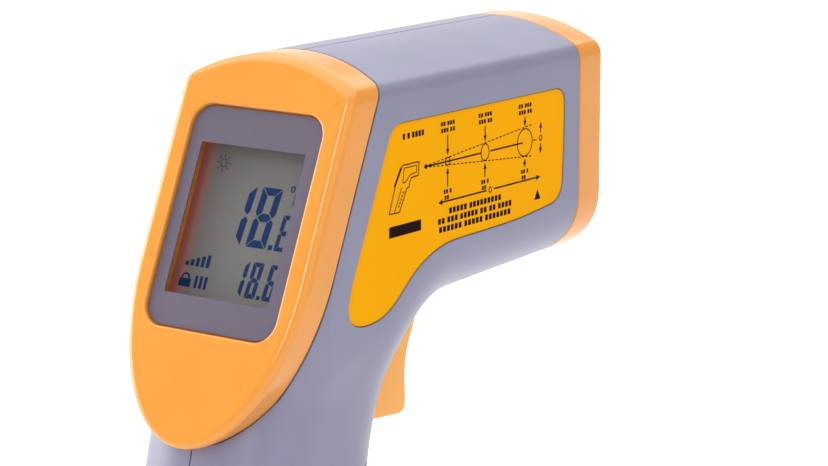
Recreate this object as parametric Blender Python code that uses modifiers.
"""Infrared thermometer of the pistol kind, as separate parts.

Lengths are in millimetres, turned into metres by MM. The origin is the middle of the hand grip.
+X is the way the sensor looks, +Y is the thermometer's left side and +Z is up.
"""

import math

import bmesh
import bpy
from mathutils import Vector
from mathutils.bvhtree import BVHTree

MM = 0.001

# --- driving dimensions ---------------------------------------------------------------------
HALF_WIDTH = 20.5
TOP_Z = 105.0
BASE_Z = -45.0
NOSE_X = 97.4
NOSE_SEAM_X = 88.4
WALL = 2.0
GAP = 0.3

# Display panel: a plane that leans forward. Depth is measured into the body, rise along the panel.
PANEL_TOP = (12.0, 96.4)
PANEL_TILT = math.radians(23.3)
REAR_SEAM_DEPTH = 7.9

# Roof of the head: a shallow arch that meets the sides in a small fillet.
ARCH_RADIUS = 42.0
SHOULDER_RADIUS = 3.5

# Rear bezel below this height is the lower half of an ellipse.
BEZEL_TAPER_Z = 66.4
BEZEL_DROP = 31.0

# Underside of the head, the curve over the trigger, and the two edge lines of the grip.
BELLY_FRONT = (NOSE_SEAM_X, 54.7)
BELLY_REAR = (53.9, 53.3)
THROAT_CURVE = (BELLY_REAR, (39.9, 52.5), (36.5, 43.0), (33.3, 33.1))

# How far the rounded front edge of a section reaches, and the power of its curve.
BELLY_DEPTH = 15.1
BELLY_POWER = 2.26
THROAT_DEPTH = 20.0
GRIP_DEPTH = 12.5
GRIP_POWER = 2.28
GRIP_FRONT_BASE = (7.9, BASE_Z)
GRIP_REAR_TOP = (-9.1, 34.7)
GRIP_REAR_LEAN = math.radians(15.5)
GRIP_LEAN = math.radians(16.8)

# Half-widths of the grip; the sides draw in between the two neck heights.
GRIP_HALF_WIDTH = 18.2
BASE_HALF_WIDTH = 16.6
NECK_TOP_Z = 55.0
NECK_BASE_Z = 38.5

# Sensor and laser axes run along X at these heights.
OPTICS_Z = 82.4
LASER_Z = 66.0
LASER_RADIUS = 3.25

# Trigger
TRIGGER_PIVOT = (44.0, 58.0)
TRIGGER_HALF_WIDTH = 8.0
TRIGGER_PIN_RADIUS = 1.2
TRIGGER_BORE_RADIUS = 1.55
TRIGGER_EAR_RADIUS = 2.8
PLUNGER_Z = 46.0

# Battery and its door
DOOR_HINGE = (-9.5, -40.5)
DOOR_EAR_RADIUS = 5.1
DOOR_EAR_GAP = 0.4
KNUCKLE_RADIUS = 4.2
KNUCKLE_HALF = 7.3
CHEEK = (7.8, 11.2)
CHEEK_RADIUS = 2.2
CHEEK_BORE_RADIUS = 1.25
DOOR_BORE_RADIUS = 1.3
DOOR_PIN_RADIUS = 0.95
BATTERY_SIZE = (17.5, 26.5, 48.5)
BATTERY_CENTRE = (1.5, -12.6)

# Case screws, as (x, z); they go in from the left.
SCREWS = ((38.0, 96.7), (82.0, 96.7), (60.0, 65.0), (4.0, 24.0), (-19.0, -29.0))
SCREW_SEAT = 9.0
BOSS_RADIUS = 3.2

RING_POINTS = 22


# --- scene, materials and small helpers -------------------------------------------------------
for old in list(bpy.data.objects):
    bpy.data.objects.remove(old, do_unlink=True)

parts = bpy.data.collections.new("infrared_thermometer")
cutters = bpy.data.collections.new("cutters")
bpy.context.scene.collection.children.link(parts)
bpy.context.scene.collection.children.link(cutters)

COLOURS = {
    "body_plastic": ((0.23, 0.22, 0.32), 0.45, 0.0),
    "bezel_plastic": ((0.88, 0.38, 0.07), 0.40, 0.0),
    "trigger_plastic": ((0.88, 0.38, 0.07), 0.40, 0.0),
    "label_film": ((0.85, 0.42, 0.02), 0.35, 0.0),
    "clear_window": ((0.80, 0.82, 0.82), 0.05, 0.0),
    "border_print": ((0.19, 0.15, 0.20), 0.40, 0.0),
    "display_glass": ((0.23, 0.23, 0.20), 0.15, 0.0),
    "circuit_board": ((0.03, 0.18, 0.07), 0.50, 0.0),
    "black_plastic": ((0.02, 0.02, 0.02), 0.50, 0.0),
    "white_plastic": ((0.80, 0.80, 0.78), 0.40, 0.0),
    "rubber_strip": ((0.10, 0.10, 0.12), 0.70, 0.0),
    "steel": ((0.60, 0.60, 0.62), 0.30, 1.0),
    "brass": ((0.70, 0.50, 0.18), 0.35, 1.0),
    "battery_wrap": ((0.06, 0.07, 0.09), 0.35, 0.0),
    "red_wire": ((0.60, 0.03, 0.03), 0.50, 0.0),
    "black_wire": ((0.02, 0.02, 0.02), 0.50, 0.0),
}


def material(name):
    """The named material, made once."""
    if name in bpy.data.materials:
        return bpy.data.materials[name]
    colour, roughness, metallic = COLOURS[name]
    made = bpy.data.materials.new(name)
    made.use_nodes = True
    shader = made.node_tree.nodes["Principled BSDF"]
    shader.inputs["Base Color"].default_value = (*colour, 1.0)
    shader.inputs["Roughness"].default_value = roughness
    shader.inputs["Metallic"].default_value = metallic
    return made


def file_object(obj, name, finish=None, smooth=False):
    """Name an object and put it with the parts, or with the cutters when it has no finish."""
    obj.name = name
    obj.data.name = name
    for home in list(obj.users_collection):
        home.objects.unlink(obj)
    if finish:
        parts.objects.link(obj)
        obj.data.materials.clear()
        obj.data.materials.append(material(finish))
    else:
        cutters.objects.link(obj)
        obj.hide_render = True
        obj.display_type = "WIRE"
    if smooth:
        for face in obj.data.polygons:
            face.use_smooth = True
    return obj


def point(x, y, z):
    """A place in millimetres as a vector in metres."""
    return Vector((x, y, z)) * MM


def box(name, centre, size, finish=None, lean=0.0, bevel=0.0):
    """A block, leaning forward about Y, with its edges rounded when bevel is given."""
    bpy.ops.mesh.primitive_cube_add(size=1.0, location=point(*centre))
    obj = bpy.context.active_object
    obj.scale = [length * MM for length in size]
    obj.rotation_euler = (0.0, lean, 0.0)
    bpy.ops.object.transform_apply(location=False, rotation=False, scale=True)
    file_object(obj, name, finish)
    if bevel:
        rounding = obj.modifiers.new("rounded_edges", "BEVEL")
        rounding.width = bevel * MM
        rounding.segments = 2
    return obj


def cylinder(name, start, end, radius, finish=None, sides=24):
    """A round bar between two points."""
    first, last = point(*start), point(*end)
    along = last - first
    bpy.ops.mesh.primitive_cylinder_add(
        vertices=sides, radius=radius * MM, depth=along.length, location=(first + last) / 2
    )
    obj = bpy.context.active_object
    obj.rotation_euler = along.to_track_quat("Z", "Y").to_euler()
    return file_object(obj, name, finish, smooth=False)


def turned(name, profile, axis_z, finish, steps=32):
    """A part turned about an axis along X: the profile is a list of (x, radius)."""
    mesh = bpy.data.meshes.new(name)
    form = bmesh.new()
    # The profile is drawn in the mesh's own XZ plane, with its axis along Z.
    spots = [form.verts.new(point(radius, 0.0, x)) for x, radius in reversed(profile)]
    solid = profile[0][1] == 0.0
    for first, last in zip(spots, spots[1:] + ([] if solid else spots[:1])):
        form.edges.new((first, last))
    form.to_mesh(mesh)
    form.free()
    obj = bpy.data.objects.new(name, mesh)
    bpy.context.scene.collection.objects.link(obj)
    screw = obj.modifiers.new("turned", "SCREW")
    screw.axis = "Z"
    screw.steps = steps
    screw.render_steps = steps
    screw.use_merge_vertices = True
    screw.merge_threshold = 0.00001
    obj.rotation_euler = (0.0, math.radians(90), 0.0)
    obj.location = point(0.0, 0.0, axis_z)
    return file_object(obj, name, finish)


def prism(name, outline, low, high, finish=None, across="Y"):
    """A flat outline given thickness: (x, z) points across Y, or (y, z) points across X."""
    mesh = bpy.data.meshes.new(name)
    form = bmesh.new()
    near = []
    for u, v in outline:
        near.append(form.verts.new(point(u, low, v) if across == "Y" else point(low, u, v)))
    face = form.faces.new(near)
    moved = bmesh.ops.extrude_face_region(form, geom=[face])["geom"]
    shift = point(0, high - low, 0) if across == "Y" else point(high - low, 0, 0)
    bmesh.ops.translate(form, verts=[g for g in moved if isinstance(g, bmesh.types.BMVert)], vec=shift)
    bmesh.ops.recalc_face_normals(form, faces=form.faces)
    form.to_mesh(mesh)
    form.free()
    obj = bpy.data.objects.new(name, mesh)
    bpy.context.scene.collection.objects.link(obj)
    return file_object(obj, name, finish)


def combine(obj, other, operation="DIFFERENCE"):
    """Add an exact Boolean with another object to an object's modifiers."""
    step = obj.modifiers.new(other.name, "BOOLEAN")
    step.operation = operation
    step.solver = "EXACT"
    step.object = other
    return obj


def wire(name, path, radius, finish):
    """A lead along a smooth route through the path's points."""
    curve = bpy.data.curves.new(name, "CURVE")
    curve.dimensions = "3D"
    curve.bevel_depth = radius * MM
    curve.bevel_resolution = 1
    curve.use_fill_caps = True
    line = curve.splines.new("POLY")
    line.points.add(len(path) - 1)
    for spot, place in zip(line.points, path):
        spot.co = (*point(*place), 1.0)
    obj = bpy.data.objects.new(name, curve)
    parts.objects.link(obj)
    curve.materials.append(material(finish))
    return obj


def smooth_route(knots, per_span=5):
    """Points on a Catmull-Rom curve through the knots."""
    ends = [knots[0]] + list(knots) + [knots[-1]]
    route = []
    for i in range(len(knots) - 1):
        a, b, c, d = (Vector(k) for k in ends[i:i + 4])
        for j in range(per_span):
            t = j / per_span
            route.append(0.5 * (2 * b + (c - a) * t + (2 * a - 5 * b + 4 * c - d) * t * t
                                + (3 * b - a - 3 * c + d) * t ** 3))
    return route + [Vector(knots[-1])]


# --- outlines and sections --------------------------------------------------------------------
def panel_point(rise, depth):
    """(x, z) of a place given along the panel and into the body from it."""
    s, c = math.sin(PANEL_TILT), math.cos(PANEL_TILT)
    return (PANEL_TOP[0] + rise * s + depth * c, PANEL_TOP[1] + rise * c - depth * s)


def roof_half_width(z):
    """Half-width of the head near its roof, where the arch and the shoulder fillets close it."""
    fillet_y = HALF_WIDTH - SHOULDER_RADIUS
    reach = ARCH_RADIUS - SHOULDER_RADIUS
    arch_z = TOP_Z - ARCH_RADIUS
    fillet_z = arch_z + math.sqrt(reach ** 2 - fillet_y ** 2)
    tangent_z = arch_z + (fillet_z - arch_z) * ARCH_RADIUS / reach
    if z >= TOP_Z:
        return 0.0
    if z >= tangent_z:
        return math.sqrt(ARCH_RADIUS ** 2 - (z - arch_z) ** 2)
    if z >= fillet_z:
        return fillet_y + math.sqrt(SHOULDER_RADIUS ** 2 - (z - fillet_z) ** 2)
    return HALF_WIDTH


def bezel_half_width(z):
    """Half-width of the rear bezel, a shield shape that ends in half an ellipse."""
    if z >= BEZEL_TAPER_Z:
        return roof_half_width(z)
    return HALF_WIDTH * math.sqrt(max(0.0, 1 - ((BEZEL_TAPER_Z - z) / BEZEL_DROP) ** 2))


def shell_curve(fraction, depth, power):
    """Part of the full width at a distance into a rounded edge, where depth is its whole reach."""
    left = 1 - min(1.0, max(0.0, fraction / depth))
    return (1 - left ** power) ** (1 / power)


def lerp(a, b, t):
    return a + (b - a) * t


def smoothstep(t):
    t = min(1.0, max(0.0, t))
    return t * t * (3 - 2 * t)


def bezier(points, t):
    """A place on a cubic Bezier curve in the XZ plane."""
    weights = ((1 - t) ** 3, 3 * t * (1 - t) ** 2, 3 * t * t * (1 - t), t ** 3)
    return tuple(sum(w * p[k] for w, p in zip(weights, points)) for k in (0, 1))


def to_rear_line(start, direction):
    """Distance from a place to the grip's rear edge line."""
    line = (math.sin(GRIP_REAR_LEAN), math.cos(GRIP_REAR_LEAN))
    dx, dz = GRIP_REAR_TOP[0] - start[0], GRIP_REAR_TOP[1] - start[1]
    cross = direction[0] * line[1] - direction[1] * line[0]
    return (dx * line[1] - dz * line[0]) / cross if abs(cross) > 1e-6 else 1e9


def to_seam(start, direction):
    """Distance from a place to the seam plane behind the rear bezel."""
    n = (math.cos(PANEL_TILT), -math.sin(PANEL_TILT))
    depth = (start[0] - PANEL_TOP[0]) * n[0] + (start[1] - PANEL_TOP[1]) * n[1]
    closing = direction[0] * n[0] + direction[1] * n[1]
    return (REAR_SEAM_DEPTH - depth) / closing if closing < -1e-6 else 1e9


class Ring:
    """One section of the body: a line in the XZ plane from its front edge to its rear or top."""

    def __init__(self, start, direction, turn, grip, inset=0.0):
        self.start = start
        self.direction = direction
        self.inset = inset
        self.grip = grip
        depth = lerp(BELLY_DEPTH, THROAT_DEPTH, turn)
        self.front_depth = lerp(depth, GRIP_DEPTH, smoothstep(grip / 0.28))
        self.front_power = lerp(BELLY_POWER, GRIP_POWER, turn)
        self.roof = (TOP_Z - start[1]) / direction[1] if direction[1] > 1e-6 else 1e9
        self.seam = to_seam(start, direction)
        rear = to_rear_line(start, direction)
        self.length = min(self.roof, rear, self.seam + 12.0)
        self.rear_depth = 14.0
        self.flare = 0.0
        seam_z = start[1] + self.seam * direction[1]
        if self.seam < self.length and seam_z > BEZEL_TAPER_Z - BEZEL_DROP:
            self.flare = max(0.0, bezel_half_width(seam_z) - self.plain(self.seam))

    def side(self, s):
        """Half the case's width where its sides are flat; it narrows from the neck to the grip's base."""
        height = self.start[1] + s * self.direction[1]
        rise = smoothstep((height - NECK_BASE_Z) / (NECK_TOP_Z - NECK_BASE_Z))
        neck = lerp(GRIP_HALF_WIDTH, HALF_WIDTH, rise)
        return lerp(neck, BASE_HALF_WIDTH, self.grip)

    def plain(self, s):
        front = shell_curve(s, self.front_depth, self.front_power)
        rear = 1.0
        if self.length < self.roof:
            rear = shell_curve(self.length - s, self.rear_depth, GRIP_POWER)
        return self.side(s) * min(front, rear)

    def half_width(self, s):
        wide = self.plain(s)
        if self.flare:
            ramp = smoothstep((s - self.seam + 20.0) / 20.0)
            past = smoothstep((s - self.seam - 1.0) / max(0.5, self.length - self.seam - 1.0))
            wide += self.flare * ramp * (1 - past)
        wide = min(wide, roof_half_width(self.start[1] + s * self.direction[1]))
        return max(0.0, wide * (1 - self.inset / GRIP_HALF_WIDTH))

    def points(self, count):
        """Points evenly spaced along the section's edge, from the front centre to the far centre."""
        fine = 240
        line = []
        for i in range(fine + 1):
            s = self.length * (1 - math.cos(math.pi * i / fine)) / 2
            line.append((s, self.half_width(s)))
        line[0] = (0.0, 0.0)
        line[-1] = (self.length, 0.0)
        run = [0.0]
        for (s0, w0), (s1, w1) in zip(line, line[1:]):
            run.append(run[-1] + math.hypot(s1 - s0, w1 - w0))
        result, k = [], 0
        for i in range(count):
            goal = run[-1] * i / (count - 1)
            while k < fine - 1 and run[k + 1] < goal:
                k += 1
            t = (goal - run[k]) / max(1e-9, run[k + 1] - run[k])
            s, w = lerp(line[k][0], line[k + 1][0], t), lerp(line[k][1], line[k + 1][1], t)
            s = self.inset + s * (1 - 2 * self.inset / self.length)
            x = self.start[0] + s * self.direction[0]
            z = self.start[1] + s * self.direction[1]
            result.append((x, w, z))
        return result


def body_rings():
    """Sections from the nose seam back over the trigger and down the grip."""
    rings = []
    up = (0.0, 1.0)
    nose = NOSE_SEAM_X - GAP / 2
    for i in range(6):
        x = lerp(nose, BELLY_REAR[0], i / 6)
        rings.append(Ring((x, lerp(BELLY_FRONT[1], BELLY_REAR[1], i / 6)), up, 0.0, 0.0))
    grip_turn = math.pi / 2 - GRIP_REAR_LEAN
    for i in range(17):
        t = i / 16
        angle = math.pi / 2 + grip_turn * t
        rings.append(Ring(bezier(THROAT_CURVE, t), (math.cos(angle), math.sin(angle)), t, 0.0))
    top_x, top_z = THROAT_CURVE[-1]
    for i in range(1, 13):
        t = i / 12 * 0.98
        front = (lerp(top_x, GRIP_FRONT_BASE[0], t), lerp(top_z, BASE_Z, t))
        angle = math.pi - GRIP_REAR_LEAN * (1 - i / 12)
        rings.append(Ring(front, (math.cos(angle), math.sin(angle)), 1.0, t))
    rings.append(Ring(GRIP_FRONT_BASE, (-1.0, 0.0), 1.0, 1.0, inset=1.4))
    return rings


def ring_loop(form, ring, wall):
    """Vertices all the way round one section, moved inwards by the wall's thickness."""
    half = []
    for x, y, z in ring.points(RING_POINTS):
        along = (x - ring.start[0]) * ring.direction[0] + (z - ring.start[1]) * ring.direction[1]
        shift = wall * (1 - 2 * along / ring.length)
        thinner = 1 - wall / ring.side(along)
        half.append((x + shift * ring.direction[0], y * thinner, z + shift * ring.direction[1]))
    around = half + [(x, -y, z) for x, y, z in half[-2:0:-1]]
    return [form.verts.new(point(*place)) for place in around]


def skin_mesh():
    """The hollow case body with walls on all sides, open at the nose seam only."""
    form = bmesh.new()
    rings = body_rings()
    top_x, top_z = THROAT_CURVE[-1]
    t = (BASE_Z + WALL - top_z) / (BASE_Z - top_z)
    floor = Ring((lerp(top_x, GRIP_FRONT_BASE[0], t), BASE_Z + WALL), (-1.0, 0.0), 1.0, t)
    outside = [ring_loop(form, ring, 0.0) for ring in rings]
    inside = [ring_loop(form, ring, WALL) for ring in rings[:-2] + [floor]]
    for surface in (outside, inside, [outside[0], inside[0]]):
        for first, last in zip(surface, surface[1:]):
            for i in range(len(first)):
                j = (i + 1) % len(first)
                form.faces.new((first[i], first[j], last[j], last[i]))
    form.faces.new(outside[-1])
    form.faces.new(inside[-1])
    bmesh.ops.recalc_face_normals(form, faces=form.faces)
    mesh = bpy.data.meshes.new("body_skin")
    form.to_mesh(mesh)
    form.free()
    return mesh


def bezel_outline(inset=0.0, grow=0.0):
    """(y, z) points around the rear bezel."""
    bottom = BEZEL_TAPER_Z - BEZEL_DROP
    side = []
    for i in range(1, 12):
        angle = math.pi / 2 * i / 12
        side.append((HALF_WIDTH * math.sin(angle), BEZEL_TAPER_Z - BEZEL_DROP * math.cos(angle)))
    side.append((HALF_WIDTH, BEZEL_TAPER_Z))
    side += roof_outline()
    middle_top, middle_bottom = (0.0, TOP_Z), (0.0, bottom)
    loop = [middle_bottom] + side + [middle_top] + [(-y, z) for y, z in reversed(side)]
    return offset_outline(loop, grow - inset)


def roof_outline():
    """(y, z) points from the side's top up round the shoulder and over the arch to the middle."""
    fillet_y = HALF_WIDTH - SHOULDER_RADIUS
    reach = ARCH_RADIUS - SHOULDER_RADIUS
    arch_z = TOP_Z - ARCH_RADIUS
    fillet_z = arch_z + math.sqrt(reach ** 2 - fillet_y ** 2)
    lean = math.atan2(fillet_z - arch_z, fillet_y)
    spots = []
    for i in range(5):
        angle = lean * i / 4
        spots.append((fillet_y + SHOULDER_RADIUS * math.cos(angle),
                      fillet_z + SHOULDER_RADIUS * math.sin(angle)))
    for i in range(1, 6):
        angle = lerp(lean, math.pi / 2, i / 6)
        spots.append((ARCH_RADIUS * math.cos(angle), arch_z + ARCH_RADIUS * math.sin(angle)))
    return spots


def nose_outline(inset=0.0):
    """(y, z) points around the head at the nose seam."""
    side = []
    for i in range(1, 12):
        s = BELLY_DEPTH * (1 - math.cos(math.pi / 2 * i / 12))
        side.append((HALF_WIDTH * shell_curve(s, BELLY_DEPTH, BELLY_POWER), BELLY_FRONT[1] + s))
    side.append((HALF_WIDTH, BELLY_FRONT[1] + BELLY_DEPTH))
    side += roof_outline()
    loop = [(0.0, BELLY_FRONT[1])] + side + [(0.0, TOP_Z)] + [(-y, z) for y, z in reversed(side)]
    return offset_outline(loop, -inset)


def offset_outline(loop, distance):
    """Move a closed outline outwards by a distance; it runs anticlockwise."""
    if not distance:
        return loop
    moved = []
    for i, here in enumerate(loop):
        before, after = loop[i - 1], loop[(i + 1) % len(loop)]
        along = Vector((after[0] - before[0], after[1] - before[1])).normalized()
        moved.append((here[0] + along.y * distance, here[1] - along.x * distance))
    return moved


# --- case body --------------------------------------------------------------------------------
def slab(name, low_depth, high_depth):
    """A wide block between two depths behind the display panel."""
    x, z = panel_point(-35.0, (low_depth + high_depth) / 2)
    return box(name, (x, 0.0, z), (high_depth - low_depth, 80.0, 200.0), lean=PANEL_TILT)


def make_shells():
    """The two moulded halves and the battery door, all cut from one skin."""
    skin = skin_mesh()
    form = bmesh.new()
    form.from_mesh(skin)
    outside = BVHTree.FromBMesh(form)
    form.free()
    rear_prism = prism("rear_bezel_room", bezel_outline(grow=0.15), -40.0, 60.0, across="X")
    combine(rear_prism, slab("behind_seam", -60.0, REAR_SEAM_DEPTH + 0.15), "INTERSECT")
    s, c = math.sin(GRIP_LEAN), math.cos(GRIP_LEAN)
    hinge_x, hinge_z = DOOR_HINGE

    def along_grip(start, length):
        return (start[0] + length * s, start[1] + length * c)

    def door_outline(gap):
        """Side view of the room that the door takes, with its parting line along the grip."""
        foot = (hinge_x - gap, hinge_z)
        corner = along_grip(foot, 61.0 + gap)
        rounded = [(corner[0] + 1.1, corner[1] + 3.6), (corner[0] + 4.0, corner[1] + 6.0)]
        return [(hinge_x - gap, BASE_Z - 10), (50.0, BASE_Z - 10), (50.0, 27.0 + gap),
                (corner[0] + 14.0, 27.0 + gap)] + rounded[::-1] + [corner, foot]

    door_room = prism("door_room", door_outline(GAP), -30.0, 30.0)
    door_space = prism("door_space", door_outline(0.0), -30.0, 30.0)
    ear_room = cylinder("door_ear_room", (hinge_x, -30, hinge_z), (hinge_x, 30, hinge_z),
                        DOOR_EAR_RADIUS + DOOR_EAR_GAP, sides=40)
    slot = box("trigger_slot", (38.55, 0, 46.1), (23.1, 2 * TRIGGER_HALF_WIDTH + 0.7, 31.8))

    for side, name in ((1, "left_shell"), (-1, "right_shell")):
        shell = bpy.data.objects.new(name, skin.copy())
        bpy.context.scene.collection.objects.link(shell)
        file_object(shell, name, "body_plastic")
        other_half = box(name + "_other_half", (20.0, side * (GAP / 2 - 50.0), 30.0), (260.0, 100.0, 260.0))
        combine(shell, other_half)
        combine(shell, rear_prism)
        combine(shell, door_room)
        combine(shell, ear_room)
        combine(shell, slot)
        add_bosses(shell, side, outside)

    door = bpy.data.objects.new("battery_door", skin.copy())
    bpy.context.scene.collection.objects.link(door)
    file_object(door, "battery_door", "body_plastic")
    ear = cylinder("door_ear", (hinge_x, -30, hinge_z), (hinge_x, 30, hinge_z), DOOR_EAR_RADIUS, sides=40)
    combine(door_space, ear, "UNION")
    combine(door, door_space, "INTERSECT")
    reach = KNUCKLE_HALF
    knuckle = cylinder("knuckle", (hinge_x, -reach, hinge_z), (hinge_x, reach, hinge_z),
                       KNUCKLE_RADIUS, sides=32)
    web = box("knuckle_web", (hinge_x + 4.0, 0, BASE_Z + 2.2), (8.0, 2 * reach, 2.6))
    combine(door, web, "UNION")
    combine(door, knuckle, "UNION")
    for side in (-1, 1):
        middle = side * (CHEEK[0] + CHEEK[1]) / 2
        notch_size = (13.0, CHEEK[1] - CHEEK[0] + 0.8, 9.0)
        notch = box(f"cheek_notch_{side}", (hinge_x, middle, BASE_Z), notch_size)
        combine(door, notch)
    pin_hole = cylinder("door_pin_hole", (hinge_x, -12, hinge_z), (hinge_x, 12, hinge_z), DOOR_BORE_RADIUS)
    combine(door, pin_hole)
    door_ribs(door)
    cylinder("door_hinge_pin", (hinge_x, -11.8, hinge_z), (hinge_x, 11.8, hinge_z), DOOR_PIN_RADIUS,
             "steel", 16)
    set_origin(door, (hinge_x, 0.0, hinge_z))


def door_ribs(door):
    """Seven thumb ribs across the front of the door, which help to push it open."""
    top_x, top_z = THROAT_CURVE[-1]
    for i in range(7):
        t = 0.42 + 0.05 * i
        x, z = lerp(top_x, GRIP_FRONT_BASE[0], t), lerp(top_z, BASE_Z, t)
        groove = cylinder(f"door_groove_{i}", (x + 0.55, -9.0, z), (x + 0.55, 9.0, z), 1.0, sides=12)
        combine(door, groove)


def set_origin(obj, place):
    """Put a part's origin on its joint's axis without moving the part."""
    where = point(*place)
    bpy.context.view_layer.update()
    obj.data.transform(obj.matrix_world)
    for spot in obj.data.vertices:
        spot.co -= where
    obj.matrix_world.identity()
    obj.rotation_euler = (0.0, 0.0, 0.0)
    obj.scale = (1.0, 1.0, 1.0)
    obj.location = where


def wall_reach(tree, x, z, radius):
    """How far out a round boss may go and still end inside the case wall, all round its edge."""
    reach = []
    for i in range(12):
        angle = 2 * math.pi * i / 12
        start = point(x + radius * math.cos(angle), 60.0, z + radius * math.sin(angle))
        hit = tree.ray_cast(start, Vector((0.0, -1.0, 0.0)))[0]
        reach.append(hit.y / MM)
    return min(reach) - WALL / 3


def add_bosses(shell, side, tree):
    """Screw bosses, trigger pin bosses and hinge cheeks inside one half of the case."""
    tag = shell.name
    for i, (x, z) in enumerate(SCREWS):
        out = side * wall_reach(tree, x, z, BOSS_RADIUS)
        boss = cylinder(f"{tag}_boss_{i}", (x, side * GAP / 2, z), (x, out, z), BOSS_RADIUS, sides=20)
        combine(shell, boss, "UNION")
        if side > 0:
            combine(shell, cylinder(f"{tag}_bore_{i}", (x, -5, z), (x, 30, z), 1.3, sides=16))
            seat = cylinder(f"{tag}_seat_{i}", (x, SCREW_SEAT, z), (x, 30, z), 2.35, sides=20)
            combine(shell, seat)
        else:
            bore = cylinder(f"{tag}_bore_{i}", (x, 5, z), (x, -10.5, z), 1.3, sides=16)
            combine(shell, bore)
    pivot_x, pivot_z = TRIGGER_PIVOT
    inner = side * (TRIGGER_HALF_WIDTH + 0.7)
    outer = side * wall_reach(tree, pivot_x, pivot_z, TRIGGER_EAR_RADIUS)
    ear = cylinder(f"{tag}_ear", (pivot_x, inner, pivot_z), (pivot_x, outer, pivot_z), TRIGGER_EAR_RADIUS)
    combine(shell, ear, "UNION")
    ear_hole = cylinder(f"{tag}_ear_hole", (pivot_x, 0, pivot_z), (pivot_x, side * 12.9, pivot_z),
                        TRIGGER_BORE_RADIUS, sides=16)
    combine(shell, ear_hole)
    hinge_x, hinge_z = DOOR_HINGE
    near, far = side * CHEEK[0], side * CHEEK[1]
    middle, thick = (near + far) / 2, abs(far - near)
    root_x = hinge_x - 10.5
    arm_size = (hinge_x - root_x, thick, 2 * CHEEK_RADIUS)
    arm = box(f"{tag}_cheek_arm", ((hinge_x + root_x) / 2, middle, hinge_z), arm_size)
    foot_top, foot_bottom = hinge_z + CHEEK_RADIUS, BASE_Z + WALL / 2
    foot = box(f"{tag}_cheek_foot", (root_x + 2.2, middle, (foot_top + foot_bottom) / 2),
               (4.4, thick, foot_top - foot_bottom))
    eye = cylinder(f"{tag}_cheek_eye", (hinge_x, near, hinge_z), (hinge_x, far, hinge_z), CHEEK_RADIUS)
    for piece in (foot, arm, eye):
        combine(shell, piece, "UNION")
    hole = cylinder(f"{tag}_hinge_hole", (hinge_x, 0, hinge_z), (hinge_x, side * 14, hinge_z),
                    CHEEK_BORE_RADIUS, sides=16)
    combine(shell, hole)


def make_screws():
    for i, (x, z) in enumerate(SCREWS):
        top = SCREW_SEAT + 1.9
        head = cylinder(f"case_screw_{i + 1}", (x, SCREW_SEAT + 0.3, z), (x, top, z), 2.0, "steel", 20)
        shank = cylinder(f"screw_shank_{i + 1}", (x, SCREW_SEAT + 1.0, z), (x, -9.5, z), 1.0, sides=12)
        combine(head, shank, "UNION")
        for turn in (0, 90):
            size = (2.6, 1.6, 0.6) if turn else (0.6, 1.6, 2.6)
            combine(head, box(f"screw_cross_{i + 1}_{turn}", (x, top, z), size))


# --- bezels, window and labels ------------------------------------------------------------------
WINDOW = {"top": -1.1, "bottom": -44.2, "half": 15.75, "corner": 4.5}
WINDOW_SEAT = 1.5
APERTURE = {"top": -8.5, "bottom": -37.6, "half": 12.5}
WELL = {"top": -6.4, "bottom": -39.8, "half": 15.1}


def panel_block(name, top, bottom, half, low_depth, high_depth, finish=None, bevel=0.0):
    """A block parallel to the display panel, given by its rise limits, half-width and depths."""
    x, z = panel_point((top + bottom) / 2, (low_depth + high_depth) / 2)
    size = (high_depth - low_depth, 2 * half, top - bottom)
    return box(name, (x, 0.0, z), size, finish, lean=PANEL_TILT, bevel=bevel)


def rounded_plate(name, top, bottom, half, corner, low_depth, high_depth, finish=None):
    """A plate with rounded corners, parallel to the display panel."""
    loop = []
    for corner_index in range(4):
        sign_y = 1 if corner_index in (0, 3) else -1
        sign_v = 1 if corner_index < 2 else -1
        centre = (sign_y * (half - corner), (top - corner) if sign_v > 0 else (bottom + corner))
        for k in range(7):
            angle = math.pi / 2 * (corner_index + k / 6)
            loop.append((centre[0] + corner * math.cos(angle), centre[1] + corner * math.sin(angle)))
    plate = prism(name, loop, low_depth, high_depth, finish, across="X")
    plate.rotation_euler = (0.0, PANEL_TILT, 0.0)
    plate.location = point(PANEL_TOP[0], 0.0, PANEL_TOP[1])
    return plate


def make_rear_bezel():
    bezel = prism("rear_bezel", bezel_outline(), -40.0, 60.0, "bezel_plastic", across="X")
    combine(bezel, slab("rear_bezel_depth", 0.0, REAR_SEAM_DEPTH - 0.15), "INTERSECT")
    hollow = prism("rear_bezel_hollow", bezel_outline(inset=2.2), -40.0, 60.0, across="X")
    combine(hollow, slab("behind_face", 3.0, 60.0), "INTERSECT")
    wall = 1.0
    combine(hollow, panel_block("well_block", WELL["top"] + wall, WELL["bottom"] - wall,
                                WELL["half"] + wall, 0.0, 5.3))
    combine(bezel, hollow)
    combine(bezel, rounded_plate("window_recess", WINDOW["top"], WINDOW["bottom"], WINDOW["half"],
                                 WINDOW["corner"], -1.0, WINDOW_SEAT))
    combine(bezel, panel_block("well", WELL["top"], WELL["bottom"], WELL["half"], -1.0, 9.0))


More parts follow.
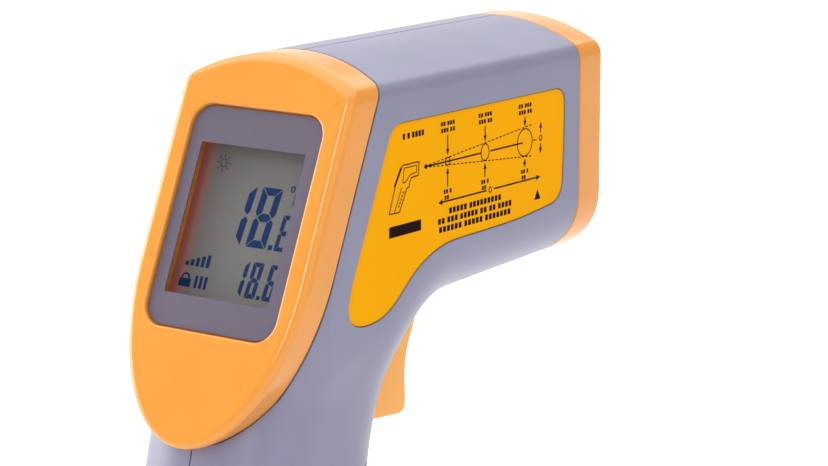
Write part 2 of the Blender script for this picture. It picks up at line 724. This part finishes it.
def make_display():
    top, bottom, half = WINDOW["top"] - GAP, WINDOW["bottom"] + GAP, WINDOW["half"] - GAP
    corner = WINDOW["corner"] - GAP
    rounded_plate("display_window", top, bottom, half, corner, 0.2, 0.9, "clear_window")
    border = rounded_plate("window_border", top, bottom, half, corner, 0.95, 1.25, "border_print")
    combine(border, panel_block("border_opening", APERTURE["top"], APERTURE["bottom"],
                                APERTURE["half"], 0.0, 5.0))
    panel_block("lcd_panel", -4.8, -40.7, 15.6, 5.6, 7.2, "display_glass")
    panel_block("backlight_plate", -5.4, -37.0, 14.0, 8.1, 10.2, "white_plastic")
    panel_block("contact_strip", -38.0, -40.4, 13.5, 8.1, 11.1, "rubber_strip")
    # The frame has a wide rim round the glass and a narrower skirt round the backlight.
    frame = panel_block("lcd_frame", -3.4, -41.6, 16.3, 5.6, 7.9, "white_plastic")
    combine(frame, panel_block("lcd_frame_skirt", -3.5, -41.2, 15.0, 7.0, 11.1), "UNION")
    combine(frame, panel_block("glass_opening", -4.6, -40.9, 15.8, 0.0, 7.4))
    combine(frame, panel_block("backlight_opening", -4.7, -40.8, 14.3, 0.0, 20.0))
    panel_block("display_board", -1.0, -44.0, 15.2, 11.4, 13.0, "circuit_board")
    panel_block("microcontroller", -14.0, -26.0, 6.0, 13.3, 14.9, "black_plastic", bevel=0.25)
    panel_block("crystal", -30.0, -34.0, 5.0, 13.3, 16.3, "steel", bevel=0.5)
    x0, z0 = panel_point(-40.0, 13.3)
    x1, z1 = panel_point(-40.0, 17.3)
    cylinder("buzzer", (x0, -8.0, z0), (x1, -8.0, z1), 4.5, "black_plastic", 28)
    x1, z1 = panel_point(-40.0, 19.3)
    cylinder("capacitor", (x0, 8.0, z0), (x1, 8.0, z1), 2.5, "black_plastic", 20)


def make_front_bezel():
    bezel = prism("front_bezel", nose_outline(), NOSE_SEAM_X + GAP / 2, NOSE_X, "bezel_plastic", across="X")
    combine(bezel, prism("front_bezel_hollow", nose_outline(inset=2.2), NOSE_SEAM_X - 5, NOSE_X - 3.0,
                         across="X"))
    combine(bezel, cylinder("sensor_port", (80, 0, OPTICS_Z), (110, 0, OPTICS_Z), 10.0, sides=40))
    combine(bezel, cylinder("laser_port", (80, 0, LASER_Z), (110, 0, LASER_Z), 2.6, sides=24))




# The films lie in shallow recesses, a little under the case's sides.
LABEL_FACE = HALF_WIDTH - 0.25
LABEL_THICKNESS = 0.3
LABEL_FLOOR = HALF_WIDTH - 0.7


def label_outline(inset=0.0):
    """(x, z) points of the side label: straight top, raked rear edge and a tail towards the grip."""
    dx, dz = PANEL_TOP
    knots = [(69.0, -3.9), (14.7, -3.9), (12.8, -4.9), (9.7, -11.5), (3.8, -24.1), (0.8, -32.1),
             (-0.3, -36.6), (0.4, -39.0), (2.5, -40.3), (5.5, -40.7), (10.8, -40.2), (17.0, -36.0),
             (20.8, -33.2), (25.0, -31.0), (33.2, -29.1), (55.3, -28.6), (68.6, -27.0), (70.6, -25.1),
             (71.2, -15.0), (71.1, -6.4), (70.5, -4.6)]
    return offset_outline([(x + dx, z + dz) for x, z in knots], -inset)


def make_labels():
    for side, name, shell in ((1, "label_left", "left_shell"), (-1, "label_right", "right_shell")):
        near, far = side * (LABEL_FACE - LABEL_THICKNESS), side * LABEL_FACE
        prism(name, label_outline(0.2), min(near, far), max(near, far), "label_film")
        floor, clear = side * LABEL_FLOOR, side * (HALF_WIDTH + 10.0)
        room = prism(name + "_recess", label_outline(), min(floor, clear), max(floor, clear))
        combine(bpy.data.objects[shell], room)


# --- sensor, laser, trigger and battery -----------------------------------------------------------
def make_optics():
    turned("optics_barrel", [(52.0, 10.8), (93.9, 10.8), (93.9, 9.9), (90.0, 9.9), (90.0, 9.2),
                             (56.0, 7.5), (56.0, 5.4), (52.0, 5.4)], OPTICS_Z, "black_plastic")
    turned("infrared_lens", [(90.2, 0.0), (90.2, 9.6), (91.2, 9.6), (91.8, 5.0), (92.0, 0.0)], OPTICS_Z,
           "white_plastic")
    turned("lens_ring", [(92.2, 9.6), (93.7, 9.6), (93.7, 8.6), (92.2, 8.6)], OPTICS_Z, "black_plastic")
    turned("thermopile_sensor", [(48.2, 0.0), (48.2, 4.8), (49.0, 4.8), (49.0, 4.2), (53.6, 4.2),
                                 (53.6, 0.0)], OPTICS_Z, "steel", 24)
    box("sensor_board", (47.1, 0, OPTICS_Z), (1.6, 26.0, 21.0), "circuit_board")
    turned("laser_module", [(70.0, 0.0), (70.0, 2.6), (74.0, 2.6), (74.0, LASER_RADIUS),
                            (91.5, LASER_RADIUS), (91.5, 0.0)], LASER_Z, "brass", 24)
    cylinder("laser_window", (92.4, 0, LASER_Z), (93.6, 0, LASER_Z), 3.6, "clear_window", 24)


def make_trigger():
    x, z = TRIGGER_PIVOT
    wide = TRIGGER_HALF_WIDTH
    outline = [(46.4, 60.6), (48.2, 57.0), (49.4, 51.8), (49.2, 49.2), (47.6, 46.0), (46.5, 43.3),
               (45.9, 39.1), (46.1, 32.4), (45.7, 31.3), (44.7, 30.8), (33.5, 31.6), (32.2, 33.4),
               (33.9, 36.4), (36.6, 40.4), (37.9, 44.6), (37.9, 47.6), (39.4, 51.0), (40.8, 57.0),
               (42.0, 60.6)]
    trigger = prism("trigger", outline, -wide, wide, "trigger_plastic")
    rounding = trigger.modifiers.new("rounded_edges", "BEVEL")
    rounding.width = 0.8 * MM
    rounding.segments = 2
    rounding.limit_method = "ANGLE"
    rounding.angle_limit = math.radians(50)
    combine(trigger, cylinder("trigger_bore", (x, -20, z), (x, 20, z), TRIGGER_BORE_RADIUS, sides=20))
    combine(trigger, box("spring_notch", (x, 0, z + 1.0), (12.0, 5.4, 10.0)))
    set_origin(trigger, (x, 0.0, z))
    cylinder("trigger_pin", (x, -12.6, z), (x, 12.6, z), TRIGGER_PIN_RADIUS, "steel", 16)
    turns, per_turn, coil = 3.0, 10, 2.2
    path = [(x - 7.5, -1.9, z + 2.2)]
    for i in range(int(turns * per_turn) + 1):
        angle = math.radians(90) + 2 * math.pi * i / per_turn
        across = lerp(-1.9, 1.9, i / (turns * per_turn))
        path.append((x + coil * math.cos(angle), across, z + coil * math.sin(angle)))
    path.append((x - 7.0, 1.9, z + 2.2))
    wire("trigger_spring", path, 0.3, "steel")
    switch = box("trigger_switch", (30.5, 0, PLUNGER_Z), (7.0, 6.0, 10.0), "black_plastic", bevel=0.3)
    combine(switch, cylinder("plunger_bore", (30.2, 0, PLUNGER_Z), (40, 0, PLUNGER_Z), 1.45, sides=20))
    cylinder("switch_plunger", (32.3, 0, PLUNGER_Z), (37.4, 0, PLUNGER_Z), 1.1, "white_plastic", 20)


def make_battery():
    s, c = math.sin(GRIP_LEAN), math.cos(GRIP_LEAN)
    x, z = BATTERY_CENTRE
    box("battery", (x, 0, z), BATTERY_SIZE, "battery_wrap", lean=GRIP_LEAN, bevel=1.5)
    top = BATTERY_SIZE[2] / 2

    def on_axis(length):
        return (x + length * s, 0.0, z + length * c)

    snap = box("battery_snap", on_axis(top + 4.8), (12.5, 25.0, 3.0), "black_plastic",
               lean=GRIP_LEAN, bevel=0.8)
    (foot_x, _, foot_z), (tip_x, _, tip_z) = on_axis(top + 0.4), on_axis(top + 4.0)
    for i, y in enumerate((-6.4, 6.4)):
        stud = cylinder(f"snap_stud_{i}", (foot_x, y, foot_z), (tip_x, y, tip_z), 3.2, sides=20)
        combine(snap, stud, "UNION")
    tray_depth = BATTERY_SIZE[0] / 2 + 1.3
    box("battery_tray", (x - tray_depth * c, 0, z + tray_depth * s), (1.4, 27.5, 46.0),
        "body_plastic", lean=GRIP_LEAN)
    start = on_axis(top + 6.9)
    end = panel_point(-43.0, 14.0)
    leads = (("battery_lead_red", "red_wire", 3.5), ("battery_lead_black", "black_wire", -3.5))
    for name, finish, y in leads:
        knots = [(start[0], y, start[2]), (start[0] - 1.0, y, start[2] + 6), (11.5, y * 1.6, 32.0),
                 (end[0] + 5.0, y * 0.6, end[1] - 8), (end[0] + 0.2, y * 0.4, end[1] + 1.0)]
        wire(name, smooth_route(knots), 0.7, finish)


make_shells()
make_labels()
make_screws()
make_rear_bezel()
make_display()
make_front_bezel()
make_optics()
make_trigger()
make_battery()
